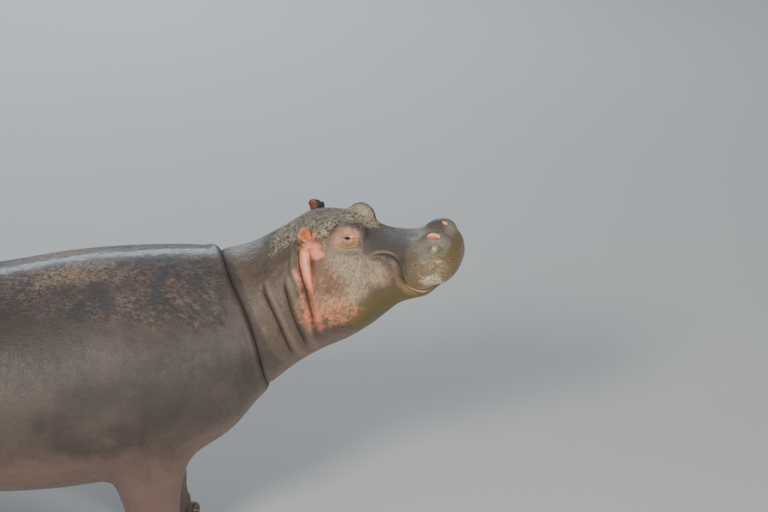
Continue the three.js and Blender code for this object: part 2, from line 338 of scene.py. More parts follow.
def far_along(line):
    """How far along the line each of its points lies."""
    return np.concatenate([[0], np.cumsum(np.hypot(*np.diff(line, axis=0).T))])


shoulder_fold = trace([(652, 1400), (659, 1309), (666, 1281), (687, 1227), (726, 1157), (763, 1080),
                       (800, 980), (838, 800), (862, 560)])
neck_folds = [
    trace([(812, 1262), (827, 1232), (873, 1170), (922, 1085), (962, 970), (985, 860)]),
    trace([(938, 1290), (947, 1256), (975, 1185), (1005, 1073), (1024, 990), (1032, 900)])]
ear_folds = [
    trace([(1007, 1400), (1010, 1370), (1015, 1336), (1025, 1297), (1042, 1240), (1056, 1170),
           (1067, 1103), (1073, 1010)]),
    trace([(1054, 1398), (1060, 1364), (1065, 1337), (1071, 1298), (1080, 1240), (1088, 1190)])]
mouth = trace(on_head((312, -66), (330, -58), (357, -56), (385, -59), (408, -68), (433, -94), (444, -130),
                      (462, -173), (508, -200), (570, -200), (640, -184), (720, -172)))
corner_crease = trace(on_head((316, -75), (335, -71), (352, -71), (374, -81)))
lip_crease = trace(on_head((508, -64), (530, -80), (560, -93), (592, -100)))
NOSTRIL = np.array([POLL_X + 560, 84, EYE_Z + 5])
LEFT_NOSTRIL = np.array([POLL_X + 584, 44, EYE_Z + 13])  # held a little higher
RING = np.array([POLL_X + 573, 124, EYE_Z - 36])  # the round wrinkle under the nostril
EAR = (1043, 1447)  # the middle of the right ear's cup, seen from the side
CUP = (1048, 195, 1436)  # a point inside that cup
print("the shoulder fold is", round(far_along(shoulder_fold)[-1]), "mm seen from the side")

# %% Distances from a line
def beside(line, x, z):
    """Seen from the side: how far a point is from a line, + in front of it or above it, the
    direction away from it, and how far along it lies from each end."""
    spot = np.stack([x, z], 1)
    nearest = np.concatenate([((part[:, None] - line[None]) ** 2).sum(2).argmin(1)
                              for part in np.array_split(spot, len(spot) // 4000 + 1)])
    ahead = np.gradient(line, axis=0)[nearest]
    ahead /= np.hypot(*ahead.T)[:, None]
    off = spot - line[nearest]
    away = np.stack([-ahead[:, 1], ahead[:, 0]], 1)
    steps = far_along(line)
    along = steps[nearest] + np.einsum("ni,ni->n", off, ahead)
    return np.einsum("ni,ni->n", off, away), away, along, steps[-1] - along


def within(line, x, z, reach):
    """The numbers of the points in the box round a line."""
    low, high = line.min(0) - reach, line.max(0) + reach
    return np.flatnonzero((x > low[0]) & (x < high[0]) & (z > low[1]) & (z < high[1]))


def near(line, x, z, reach):
    """True within a distance of the line and of its ends."""
    found = np.zeros(len(x), bool)
    at = within(line, x, z, reach)
    d, _, along, left = beside(line, x[at], z[at])
    found[at] = (abs(d) < reach) & (along > -reach) & (left > -reach)
    return found


def from_point(point, x, y, z):
    """How far each place is from a point."""
    return np.sqrt((x - point[0]) ** 2 + (y - point[1]) ** 2 + (z - point[2]) ** 2)

# %% Halve the squares of the detailed places
def finer(where, sides=(-1, 1)):
    """Halves each face whose middle the test picks, in straight millimetres."""
    select_only(skin)
    x, y, z = read(skin.data.polygons, "center").T * 1000
    for items in (skin.data.vertices, skin.data.edges):
        items.foreach_set("select", [False] * len(items))
    skin.data.polygons.foreach_set("select", where(x, abs(y), z) & np.isin(np.sign(y), sides))
    bpy.context.tool_settings.mesh_select_mode = (False, False, True)
    bpy.ops.object.mode_set(mode="EDIT")
    bpy.ops.mesh.subdivide(number_cuts=1)
    bpy.ops.object.mode_set(mode="OBJECT")


def first_round(x, y, z):
    lines = (*neck_folds, *ear_folds, shoulder_fold, mouth, corner_crease, lip_crease)
    on_ear = (y > 140) & (x > 955) & (x < 1110) & (z > 1376)
    on_foot = z < 105
    return (np.any([near(line, x, z, 21) for line in lines], 0) | on_ear | on_foot
            | (from_point(EYE, x, y, z) < 60) | (from_point(NOSTRIL, x, y, z) < 58)
            | (from_point(RING, x, y, z) < 48))


def second_round(x, y, z):
    return (near(shoulder_fold, x, z, 10) | near(mouth, x, z, 9) | (from_point(RING, x, y, z) < 38)
            | (from_point(EYE, x, y, z) < 42) | (from_point(NOSTRIL, x, y, z) < 38))


def on_cup(x, y, z):
    return from_point(CUP, x, y, z) < 50


def on_lids(x, y, z):
    return from_point(EYE, x, y, z) < 29


finer(first_round)
finer(second_round)
finer(on_cup, (-1,))
finer(on_lids)
print("the finer net has", len(skin.data.polygons), "faces")

# %% [markdown]
# The net and the ironing have eaten into what is thin: the toes, the ears and the tail. The
# Shrinkwrap modifier lays the skin there back onto a straight copy of the solids. The ears have
# lost their thin rims as well, so each leaf is scaled up about its own middle. Then the right
# leaf is drawn in to a circle round its cup, and the left one to a low arch.

# %% Lay the toes, ears and tail back on the solids
x, y, z = points_of(skin).T * 1000
thin = np.maximum.reduce([ease(150, 110, z), ears(x, y, z), ease(-1225, -1262, x)])
apply(skin, "SHRINKWRAP", target=build, wrap_method="NEAREST_SURFACEPOINT", vertex_group=group(skin, thin))
bpy.data.objects.remove(build)
print(int((thin > 0.5).sum()), "points laid back on the solids")

# %% Shape the leaves of the ears
LEAF_RADIUS = 29  # of the right leaf, seen from the side
DRAWN_IN = 0.9  # the share of what stands past an outline that is taken back
x, y, z = points_of(skin).T * 1000
leaves = ears(x, y, z)
iron(5, leaves)
grown = points_of(skin) * 1000
for side, growth in ((-1, 0.12), (1, 0.05)):
    one = leaves * (np.sign(grown[:, 1]) == side)
    root = (grown * one[:, None]).sum(0) / one.sum()
    grown += growth * one[:, None] * (grown - root)
x, y, z = grown.T
right = ears(x, y, z, 3) * (y < 0)
far = np.hypot(x - EAR[0], z - EAR[1])
pull = right * DRAWN_IN * np.clip(far - LEAF_RADIUS, 0, None) / np.maximum(far, 1)
grown[:, [0, 2]] -= pull[:, None] * (grown[:, [0, 2]] - EAR)
top = outline(x, (985, 1458), (995, 1470), (1004, 1475), (1020, 1472), (1062, 1448))
grown[:, 2] -= ears(x, y, z, 3) * (y > 0) * DRAWN_IN * np.clip(z - top, 0, None)
set_points(skin, grown / 1000)
iron(3)
print(sum(len(face.vertices) - 2 for face in skin.data.polygons), "triangles in the skin")

# %% [markdown]
# ## Masses under the hide
# The solids give the build in large. The upper arm, shoulder blade, elbow, haunch and knee are broad
# swellings of about a centimetre. A sculptor would use the Inflate brush. Here each one is a soft
# round push along the skin's own outward direction. The left nostril's mound gets one too.

# %% Swell the muscles
def swell(centre, spread, height):
    """Pushes the skin out round a point, fading over a distance along each axis."""
    far = (((points - centre) / spread) ** 2).sum(1)
    return out * (height * np.exp(-far))[:, None]


SWELLINGS = {  # ahead of the foot, across and up, how far it spreads each way, and how high
    "front": [((10, 430, 850), (110, 120, 190), 15),  # upper arm
              ((-40, 470, 1060), (120, 160, 130), 8),  # shoulder blade
              ((-80, 330, 560), (60, 100, 70), 10),  # elbow
              ((-5, 250, 330), (60, 200, 60), 7)],  # wrist
    "hind": [((40, 440, 860), (190, 140, 210), 16),  # haunch
             ((130, 360, 610), (80, 120, 90), 12),  # knee
             ((-60, 250, 380), (50, 200, 60), 10)],  # hock
}
points, out = points_of(skin) * 1000, normals_of(skin)
move = swell((POLL_X + 600, 72, EYE_Z + 2), (46, 46, 50), 12)  # the left nostril's mound
for name, foot in FEET.items():
    side = np.sign(foot[1])
    for (ahead, across, level), spread, height in SWELLINGS[name.split("_")[0]]:
        move += swell((foot[0] + ahead, side * across, level), spread, height)
set_points(skin, (points + move) / 1000)
print("largest swelling", round(np.linalg.norm(move, axis=1).max(), 1), "mm")

# %% [markdown]
# ## Folds
# The hide lies in deep folds behind the shoulders' edge, on the neck and behind the ears, and the
# mouth is a long closed cleft. Each is a line seen from the side. They could be cut with the
# Crease brush; here the same three moves are made in code: the points near the line are drawn
# onto it, so that the cleft is crisp, they are pushed in, and the skin beside it stands up as a
# roll. What is deep is remembered, because the hide is painted darker there as shade.

# %% Press a fold into the skin
BESIDE = 90  # how far beside its line a fold can reach
deep = np.zeros(len(skin.data.vertices))


def fold(line, depth, front, back, rolls, ends, draw=8):
    """A cleft that closes over `front` and `back` millimetres, before and behind its line, and
    rolls beside it, each a height, a distance in front of the line and a width. It fades in and
    out over its ends, and points nearer than `draw` are drawn towards the line."""
    points, out, flip = half()
    x, _, z = points.T
    at = within(line, x, z, BESIDE)
    d, away, along, left = beside(line, x[at], z[at])
    share = ease(0, ends[0], along) * ease(0, ends[1], left)
    drawn = -0.75 * d * np.clip(1 - abs(d) / draw, 0, 1) * share
    points[at, 0] += drawn * away[:, 0]
    points[at, 2] += drawn * away[:, 1]
    d = d + drawn
    cleft = np.exp(-np.where(d > 0, d / front, -d / back)) * share
    rise = -depth * cleft
    for height, ahead, width in rolls:
        rise += height * hump(d - ahead, width) * share
    points[at] += out[at] * rise[:, None]
    # how deep the cleft is: the hide is later painted darker there as shade
    deep[at] = np.maximum(deep[at], np.clip(cleft, 0, 1) * min(1, depth / 8))
    set_points(skin, points * flip / 1000)


fold(shoulder_fold, depth=20, front=20, back=9, rolls=[(7, -28, 24)], ends=(10, 330), draw=12)
fold(neck_folds[0], depth=12, front=14, back=10, rolls=[(6, 24, 16)], ends=(60, 120))
fold(neck_folds[1], depth=13, front=15, back=10, rolls=[(7, 24, 16)], ends=(60, 120))
fold(ear_folds[0], depth=15, front=8, back=10, rolls=[(12, 23, 15), (7, -26, 14)], ends=(20, 120))
fold(ear_folds[1], depth=12, front=8, back=6, rolls=[(3, 14, 9)], ends=(15, 110))
fold(mouth, depth=7, front=4.5, back=6, rolls=[(3, 10, 6)], ends=(46, 10), draw=6)
fold(corner_crease, depth=6, front=3, back=4, rolls=[(2.5, -7, 4)], ends=(12, 12), draw=4)
fold(lip_crease, depth=4.5, front=6, back=8, rolls=[(2, -9, 6)], ends=(20, 20), draw=4)
print("folds pressed in,", int((deep > 0.5).sum()), "points lie deep in them")

# %% [markdown]
# Smaller lumps go with them: the lobe in front of the ear, which is two round lumps on a broad one,
# the bulge under the corner of the mouth, and a low ridge under the eye.

# %% Raise the lobes
LOBES = [  # forward and up on the head, how far it spreads both ways, and how high
    ((88, -17), (16, 16), 11), ((117, -47), (15, 14), 9), ((100, -34), (32, 28), 6),  # by the ear
    ((338, -88), (30, 20), 7), ((372, -170), (46, 50), 5),  # under the corner of the mouth
    ((250, -60), (70, 14), 4)]  # under the eye
points, out, flip = half()
for place, spread, height in LOBES:
    far = (((points[:, [0, 2]] - on_head(place)) / spread) ** 2).sum(1)
    points += out * (height * np.exp(-far))[:, None]
set_points(skin, points * flip / 1000)
print(len(LOBES), "lobes raised")

# %% [markdown]
# ## The cups of the ears
# An ear is a small leaf rolled into a cup. The solid leaf is full, so the face it turns outwards is
# pushed in round its middle. The left ear is laid back and shows its cup to the sky.

# %% Hollow the ears
CUP_RADIUS, CUP_DEPTH = 24, 9
points, out, flip = half()
leaf = ears(points[:, 0], points[:, 1] * flip[:, 1], points[:, 2])
for side, facing in ((-1, (0.42, 0.88, 0.22)), (1, (0.2, 0.3, 0.9))):
    facing = unit(np.array(facing))
    one = (leaf > 0.3) & (flip[:, 1] == side)
    hollow_middle = points[one & (out @ facing > 0.6)].mean(0)
    if side < 0:
        hollow_middle[[0, 2]] = EAR
    spot = points - hollow_middle
    off_axis = np.linalg.norm(spot - (spot @ facing)[:, None] * facing, axis=1) / CUP_RADIUS
    facing_out = one * ease(0.05, 0.5, out @ facing)
    points -= (CUP_DEPTH * hump(off_axis, 0.6) * facing_out)[:, None] * facing
    # the hollow of the right cup is painted darker as shade
    deep = np.maximum(deep, 0.8 * hump(off_axis, 0.45) * facing_out * (side < 0))
    print("ear cup", side, "at", hollow_middle.round(), int(one.sum()), "points")
set_points(skin, points * flip / 1000)

# %% [markdown]
# ## Feet and leg wrinkles
# A foot spreads into four toes with a gap between each two. Above it, and again where the leg bends,
# the hide lies in ripples that run round the leg and tilt a little.

# %% Part the toes and wrinkle the legs
TOE_GAPS = (-41.5, 0, 41.5)  # degrees from straight ahead
GAP_WIDTH, GAP_DEPTH = 8, 15
LEG_RADIUS = 190  # what is further from a foot's middle isn't its leg
LEG_WRINKLES = (  # level, depth and tilt
    (118, 5, 0.15), (141, 4, 0.1), (168, 3, 0.12), (330, 3, -0.1), (352, 3, -0.12))
points, out = points_of(skin) * 1000, normals_of(skin)
push = np.zeros(len(points))
for foot in FEET.values():
    x, y, _ = (points - foot).T
    z = points[:, 2]
    bearing = np.degrees(np.arctan2(y, x))
    off_leg = np.hypot(x, y)
    on_toes = ease(55, 85, off_leg) * ease(92, 62, z) * (off_leg < LEG_RADIUS)
    for gap in TOE_GAPS:
        parted = hump(np.radians(bearing - gap) * off_leg, GAP_WIDTH) * on_toes
        push -= GAP_DEPTH * parted
        # the gaps between the toes are painted darker as shade
        deep = np.maximum(deep, 0.8 * parted)
    on_leg = (off_leg < LEG_RADIUS) * ease(430, 380, z)
    for level, depth, tilt in LEG_WRINKLES:
        push -= on_leg * depth * np.exp(-abs(z - level - tilt * x) / 6)
set_points(skin, (points + out * push[:, None]) / 1000)
print("toes parted, deepest push", round(-push.min(), 1), "mm")

# %% [markdown]
# ## Nostrils
# A hippopotamus shuts its nostrils with a flap. Closed, each is an oval pink lid on top of the
# muzzle, with a raised rim round it and a slit along its lower side. Below it the hide lies in a
# round wrinkle. Both are seen from straight outside, as two distances across the skin, and pushed
# in and out by how far they are from an oval.

# %% Look at a place on the skin from straight outside
def forward_on(aim):
    """The way forward on a surface that faces `aim`."""
    return unit(np.array([1.0, 0, 0]) - aim[0] * aim)


def seen_on_skin(centre, reach, sides=(-1, 1)):
    """Which points are near a place on the skin, how far forward of it and down the slope from it
    each lies, and the direction out."""
    away = np.where(np.isin(flip[:, 1], sides), from_point(centre, *points.T), np.inf)
    aim = unit(out[away < 30].mean(0))
    ahead = forward_on(aim)
    at = np.flatnonzero(away < reach)
    spot = points[at] - centre
    return at, spot @ ahead, spot @ np.cross(aim, ahead), aim


points, out, flip = half()
print(len(seen_on_skin(NOSTRIL, 62)[0]), "points round the two nostrils")

# %% Dent the nostrils
nostril_flap, flap_low = np.zeros(len(points)), np.zeros(len(points))
NOSTRILS = (  # side, middle, half its length and height, and tilt
    (-1, NOSTRIL, 25, 14.5, 0.0), (1, LEFT_NOSTRIL, 12, 7, 0.6))
for side, centre, long, high, tilt in NOSTRILS:
    at, u, v, aim = seen_on_skin(centre, 62, (side,))
    u, v = u * np.cos(tilt) - v * np.sin(tilt), u * np.sin(tilt) + v * np.cos(tilt)
    oval = np.hypot(u / long, v / high)
    flap = 2.5 * ease(1.0, 0.3, oval)
    groove = 3.5 * hump(oval - 1.08, 0.13)
    rim = 4.0 * hump(oval - 1.5, 0.3)
    slit = hump(oval - 1.12, 0.12) * ease(0.0, 0.8, v / high)
    points[at] += (flap - groove + rim - 3 * slit)[:, None] * aim
    # the slit, and a little of the groove, are painted darker as shade
    deep[at] = np.maximum(deep[at], np.maximum(slit, 0.15 * groove))
    lid = ease(1.12, 0.96, oval)
    nostril_flap[at] = np.maximum(nostril_flap[at], lid)
    flap_low[at] = np.maximum(flap_low[at], lid * ease(0.0, 0.7, v / high))
    print("nostril faces", (aim * [1, side, 1]).round(2))

# %% Press in the round wrinkle
RING_LONG, RING_HIGH = 19, 17
RINGS = ((0.55, 2.2), (1.0, 4.4), (1.5, 2.6))  # size, as a share of that oval, and depth
at, u, v, aim = seen_on_skin(RING, 56)
oval = np.hypot(u / RING_LONG, v / RING_HIGH)
rings = sum(depth * hump(oval - size, 0.16) for size, depth in RINGS)
points[at] -= rings[:, None] * aim
# the round wrinkle is painted darker as shade
deep[at] = np.maximum(deep[at], 0.8 * np.clip(rings / 3, 0, 1))
set_points(skin, points * flip / 1000)
print("the round wrinkle is", round(rings.max(), 1), "mm deep")

# %% [markdown]
# ## Eyelids
# The eye is small and sits in a high mound. Its lids are thick, and only a slit of the ball
# shows. The skin near the eye is draped over the ball, a little proud of it. Then the points
# inside an almond-shaped opening are sunk behind the ball, the points beside its edge are drawn
# onto that edge, and rings of wrinkles go round the lids.

# %% Look at the eye
LID = 2.6  # how far the lids stand off the ball
HALF_LENGTH, OPEN_UP, OPEN_DOWN = 13.0, 6.0, 5.0
SLIT = (-6.5, 4.5)  # the opening lies a little behind and above the middle of the ball
EDGE = 1.5  # what is nearer to the opening's edge than this is drawn onto it
SUNK = 5  # how far behind the ball's surface the skin in the opening goes
gaze = unit(np.array([0.20, 0.93, 0.28]))
ahead = forward_on(gaze)
above = np.cross(ahead, gaze)
points, out, flip = half()
spot = points - EYE
u, v, w = spot @ ahead, spot @ above, spot @ gaze
at = np.flatnonzero((np.hypot(u, v) < 60) & (w > 0))
print(len(at), "points round the two eyes")

# %% Drape the lids over the ball and open them
u, v, w = u[at], v[at], w[at]
rho = np.hypot(u, v)
dome = EYE_RADIUS + LID - rho ** 2 / (2 * (EYE_RADIUS + LID))
w = w + (dome - w) * ease(36, 19, rho)
u, v = u - SLIT[0], v - SLIT[1]
opening = np.clip(1 - (u / HALF_LENGTH) ** 2, 0, 1)
edge = np.where(v > 0, v - OPEN_UP * opening, -v - OPEN_DOWN * opening)
edge = np.where(abs(u) > HALF_LENGTH, np.maximum(edge, EDGE), edge)
v = v + np.sign(v) * (-edge * np.clip(1 - abs(edge) / EDGE, 0, 1))
u, v = u + SLIT[0], v + SLIT[1]
inside = edge < -0.6
ball_front = np.sqrt(np.clip(EYE_RADIUS ** 2 - rho ** 2, 0, None))
w = np.where(inside, ball_front - SUNK, w)
w += 1.3 * hump(edge, 2.2) * (~inside) * ease(24, 18, rho)  # thick rims
print(int(inside.sum()), "points sunk behind the eyeballs")

# %% Wrinkle the lids
LID_WRINKLES = (  # half its height, its depth and its width
    (13.0, 2.2, 2.0), (20.5, 4.4, 2.6), (28.0, 4.0, 3.0), (36.0, 2.6, 3.4))
oval = np.hypot(u / 1.45, v)
lower = 0.2 + 0.8 * ease(4, -8, v)  # the wrinkles are strongest under the eye
for size, depth, width in LID_WRINKLES:
    line = hump(oval - size - 1.5 * np.sin(u / 9 + size), width) * lower
    w -= depth * line
    # the wrinkles round the eye are painted darker as shade
    deep[at] = np.maximum(deep[at], 0.85 * line)
points[at] = EYE + u[:, None] * ahead + v[:, None] * above + w[:, None] * gaze
lid_rim = np.zeros(len(points))
lid_rim[at] = hump(edge, 2.5)
set_points(skin, points * flip / 1000)
print(int((lid_rim > 0.5).sum()), "points on the rims of the lids")

# %% [markdown]
# ## Where each colour lies
# A hide is not one colour. Mud dries on the back and the crown, the folds behind the ears are
# pink, the snout is dark and smooth, and the underside is pale. Weights could be painted by hand.
# Here each zone is a number on every point of the skin, worked out from its place on the straight
# animal, and the material reads those numbers, so the colours bend with the neck.

# %% Measure where every point is
points, out, flip = half()
x, y, z = points.T
forward, up = x - POLL_X, z - EYE_Z
outer = ease(40, 90, y)
leaf = ears(x, y * flip[:, 1], z, 3)
off_ear = np.hypot(x - EAR[0], z - EAR[1])
cup = leaf * ease(40, 33, off_ear) * (flip[:, 1] < 0)
off_mouth = np.full(len(x), 99.0)
at = np.flatnonzero((forward > 240) & (up < 60))
off_mouth[at] = beside(mouth, x[at], z[at])[0]


def patch(at_forward, at_up, long, high, power=1.0):
    """A soft oval patch on the side of the head: its middle, forward and up, and its half sizes."""
    far = ((forward - at_forward) / long) ** 2 + ((up - at_up) / high) ** 2
    return outer * np.exp(-(far ** power))


def band(line, centre, width, fade=0.0):
    """A soft band beside a line, seen from the side, that can fade from its upper end down."""
    found = np.zeros(len(x))
    at = within(line, x, z, BESIDE)
    d, _, along, left = beside(line, x[at], z[at])
    ends = ease(-8, 30, along) * ease(-8, 60, left) * (1 - fade * ease(70, 220, along))
    found[at] = hump(d - centre, width) * ends
    return found


print("the right ear's cup has", int((cup > 0.5).sum()), "points")

# %% Draw the edges of the crown and of the jaw
crown_edge = outline(forward, (-300, -150), (-200, -115), (-120, -85), (-60, -50), (-20, -30), (20, -8),
                     (60, 12), (95, 4), (140, 8), (154, 26), (170, 56), (194, 72), (232, 68), (250, 60),
                     (262, 54), (290, 40), (320, 20))
front_edge = 334 - 0.36 * np.clip(y - 20, 0, 130)
eye_side = outline(forward, (180, 92), (235, 88), (250, 80), (313, 4), (340, -26))
valley = np.minimum.reduce([eye_side + y * flip[:, 1], 92 - y, up + 20]) / 40  # between the eyes
crown = np.maximum((up - crown_edge) / 60, valley)
crown = np.minimum(crown, (front_edge - forward) / 60)
crown = 0.5 + 0.5 * np.clip(np.minimum(crown, (forward + 130) / 200), -1, 1)
left_leaf = leaf * (flip[:, 1] > 0)
left_back = left_leaf * ease(48, 32, forward)
olive_edge = outline(forward, (180, -350), (240, -262), (300, -215), (360, -185), (420, -160), (470, -130))
print("the crown covers", int((crown > 0.5).sum()), "points")

# %% Mark the zones of the head
EAR_ZONES = {
    "pink": 1.3 * band(ear_folds[0], 22, 19, 0.9)
            + 0.5 * band(ear_folds[0], -20, 13, 0.4) * ease(1340, 1290, z)
            + patch(84, -20, 24, 24) + patch(110, -46, 19, 18) + 0.25 * patch(276, -8, 26, 14)
            + 0.3 * patch(96, -300, 34, 60) + 0.12 * patch(128, -120, 20, 70),
    # the lobe's own orange, and painted highlight specks on it
    "bright": patch(87, -18, 17, 17) + patch(110, -44, 14, 14),
    "cup_rim": cup * ease(17, 27, off_ear),
    "orange": cup,
    "roll": band(ear_folds[0], 22, 19) * ease(1250, 1190, z),
    # the inside of the far ear, painted a darker red than the near cup as shade
    "red": left_back,
    "ear_back": left_leaf * (1 - left_back),
}
CHEEK_ZONES = {
    "speckled": 0.9 * patch(140, -284, 100, 50) + patch(196, -284, 42, 42) + 0.7 * patch(160, -226, 100, 44),
    "shaded": 1.4 * patch(126, -108, 46, 44) + 0.9 * patch(312, -66, 34, 16) + 0.9 * patch(158, -180, 46, 46)
              + 0.5 * patch(96, -180, 20, 60),
    "orbit": patch(219, 9, 62, 50, 1.5),
    "orbit_low": patch(222, -21, 42, 19),
    # painted highlights on the lids, beside the corners of the eye
    "lid_shine": patch(EYE[0] - POLL_X - 21, 5, 7, 4) + patch(EYE[0] - POLL_X + 11, 19, 7, 4),
    "rim": lid_rim,
    "cheek": np.maximum.reduce([patch(190, -190, 130, 150, 1.3), patch(140, -26, 56, 44, 1.3),
                                patch(346, -146, 66, 56)]),
    # painted highlights where wet light lies on the cheek
    "sheen": patch(232, -84, 84, 50) + 1.1 * patch(266, -176, 46, 62) + patch(340, -118, 36, 34)
             + 0.9 * patch(160, -236, 96, 40) + 0.6 * patch(352, -152, 36, 38),
    "jaw": ease(50, -60, up - olive_edge) * ease(80, 260, forward)
           * ease(8, -8, off_mouth - 99 * (off_mouth > 90)),
}
MUZZLE_ZONES = {
    "snout": ease(262, 300, forward) * ease(-110, -10, up) * ease(620, 480, forward),
    "bumps": ease(400, 520, forward) * ease(40, -50, up),
    # painted glints of wet light on the muzzle's bumps and in the round wrinkle
    "glint": 1.3 * patch(566, -154, 36, 28) + 0.4 * patch(572, -126, 60, 46) + 1.2 * patch(569, -30, 9, 9)
             + 0.6 * patch(586, -62, 18, 9),
    "muzzle_front": ease(590, 650, forward) * ease(0, -70, up),
    "muzzle_rear": patch(486, -90, 44, 60),
    "muzzle_low": ease(60, 10, off_mouth) * ease(-2, 4, off_mouth) * ease(430, 500, forward),
    "grey_muzzle": patch(548, -30, 64, 46) + hump(forward - 610, 30) * ease(-60, -10, up),
    # a painted highlight along the upper lip, just beside the cleft
    "mouth": 1.1 * band(mouth, 6, 2.8, 1.0),
    "flank_of_mouth": band(mouth, -24, 20) * ease(372, 420, forward) * ease(540, 460, forward),
    "lip": 0.8 * hump(off_mouth + 6, 2.6) * ease(440, 480, forward) * ease(570, 530, forward),
    "flap": nostril_flap,
    "flap_low": flap_low,
}

# %% Mark the zones of the body, and store them all
MUD_ZONES = {
    "crown": crown * (1 - cup) * (1 - left_leaf),
    "far_brow": hump(forward - 250, 70) * ease(30, 60, y) * (flip[:, 1] > 0),
    "tan": hump(forward - 250, 80) + 0.8 * hump(forward + 60, 70) + 0.9 * patch(128, 28, 24, 34),
    "back": ease(1130, 1250, z + 0.12 * x) * ease(700, 560, x) * ease(-20, 80, y),
    # the line of the spine: a painted sheen on it, and a glossier film
    "crest": ease(115, 0, y) * ease(1225, 1260, z) * ease(760, 560, x),
    "tan_back": (hump(x - 60, 240) + 0.4 * hump(x - 540, 60) + 0.8 * hump(x + 620, 200))
                * ease(230, 120, y) * ease(1100, 1200, z),
}
BODY_ZONES = {
    "neck": ease(660, 730, x - 0.6 * (1280 - z)) * ease(1080, 960, x),
    # a painted highlight on the rolls beside the neck folds and the shoulder fold
    "ridge": band(neck_folds[0], 30, 17) + band(neck_folds[1], 30, 17) + 0.5 * band(shoulder_fold, -30, 26),
    "under": ease(860, 340, z) * (0.45 + 0.55 * ease(60, 300, z))
             + ease(0.3, 0.8, -out[:, 2]) * ease(200, 320, z),
    # how deep each point lies in a fold or hollow, where the hide is painted darker as shade
    "deep": deep,
}
ZONES = {**EAR_ZONES, **CHEEK_ZONES, **MUZZLE_ZONES, **MUD_ZONES, **BODY_ZONES}
for name, weights in ZONES.items():
    weights = np.clip(weights, 0, 1).astype(np.float32)
    skin.data.attributes.new(name, "FLOAT", "POINT").data.foreach_set("value", weights)
print("zones:", {name: int((weights > 0.5).sum()) for name, weights in ZONES.items()})

# %% Bend the neck and finish the skin
set_points(skin, bend(points * flip))
select_only(skin)
bpy.ops.object.shade_smooth()
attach(skin, "root")
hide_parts(*(name for name in flesh if not name.startswith("eye")))
print("skin:", sum(len(face.vertices) - 2 for face in skin.data.polygons), "triangles")

# %% [markdown]
# ## Painting with nodes
# Every finish is made of nodes, with no pictures, so it has detail at any distance. Wiring nodes
# one by one is long, so a small helper adds a node and returns its output. Patterns read Object
# coordinates, which are metres here, so a scale of 100 gives marks about a centimetre apart.

# %% A helper for materials
def tone(red, green, blue):
    """A colour as a screen shows it, 0 to 255, as the shader wants it."""
    share = np.array([red, green, blue]) / 255
    linear = np.where(share < 0.04045, share / 12.92, ((share + 0.055) / 1.055) ** 2.4)
    return (*(float(v) for v in linear), 1)


class Finish:
    """One material and short ways to add its nodes."""

    def __init__(self, name):
        self.material = bpy.data.materials.new(name)
        self.material.use_nodes = True
        self.tree = self.material.node_tree
        self.surface = self.tree.nodes["Principled BSDF"]
        self.place = self.add("ShaderNodeTexCoord").outputs["Object"]

    def add(self, kind, inputs=(), **settings):
        node = self.tree.nodes.new(kind)
        for name, value in settings.items():
            setattr(node, name, value)
        for name, value in dict(inputs).items():
            self.wire(node.inputs[name], value)
        return node

    def wire(self, socket, value):
        if isinstance(value, bpy.types.NodeSocket):
            self.tree.links.new(value, socket)
        else:
            socket.default_value = value

    def set(self, **inputs):
        for name, value in inputs.items():
            self.wire(self.surface.inputs[name.replace("_", " ")], value)

    def stretched(self, scale):
        return self.add("ShaderNodeMapping", {"Vector": self.place, "Scale": scale}).outputs[0]

    def leaning(self, divide, turn):
        """Turned first and then drawn out, so a pattern can run aslant."""
        inputs = {"Vector": self.place, "Scale": divide, "Rotation": turn}
        return self.add("ShaderNodeMapping", inputs, vector_type="TEXTURE").outputs[0]

    def noise(self, scale, detail=4, roughness=0.55, place=None, distortion=0.0):
        inputs = {"Vector": place or self.place, "Scale": scale, "Detail": detail,
                  "Roughness": roughness, "Distortion": distortion}
        return self.add("ShaderNodeTexNoise", inputs).outputs["Fac"]

    def cells(self, scale):
        """How far each place is from the middle of its cell."""
        inputs = {"Vector": self.place, "Scale": scale}
        return self.add("ShaderNodeTexVoronoi", inputs).outputs["Distance"]

    def zone(self, name):
        return self.add("ShaderNodeAttribute", attribute_name=name).outputs["Fac"]

    def sum(self, operation, first, second=0.0):
        """One Math node."""
        return self.add("ShaderNodeMath", {0: first, 1: second}, operation=operation).outputs[0]

    def plus(self, first, second):
        return self.sum("ADD", first, second)

    def minus(self, first, second):
        return self.sum("SUBTRACT", first, second)

    def larger(self, first, second):
        return self.sum("MAXIMUM", first, second)

    def times(self, first, *others):
        for other in others:
            first = self.sum("MULTIPLY", first, other)
        return first

    def step(self, value, low, high, bottom=0.0, top=1.0):
        inputs = {"Value": value, "From Min": low, "From Max": high, "To Min": bottom, "To Max": top}
        return self.add("ShaderNodeMapRange", inputs, interpolation_type="SMOOTHSTEP").outputs[0]

    def mix(self, first, second, share):
        inputs = {0: share, 6: first, 7: second}  # the sockets for colours
        return self.add("ShaderNodeMix", inputs, data_type="RGBA").outputs[2]

    def lay(self, base, *coats):
        """Coats of paint over the base, each a colour and the shares it is laid with."""
        for paint, *shares in coats:
            paint = tone(*paint) if isinstance(paint, tuple) else paint
            base = self.mix(base, paint, self.times(*shares))
        return base

    def bump(self, height, distance, under=None):
        inputs = {"Height": height, "Distance": distance}
        if under:
            inputs["Normal"] = under
        return self.add("ShaderNodeBump", inputs).outputs[0]


print("middle grey on a screen is", round(tone(128, 128, 128)[0], 3), "to a shader")

# %% [markdown]
# ## The hide
# Wet hide is purple-brown, mottled and finely wrinkled. The material starts with that ground, lays
# each zone over it with an edge broken up by noise, and ends with painted shade in the folds.

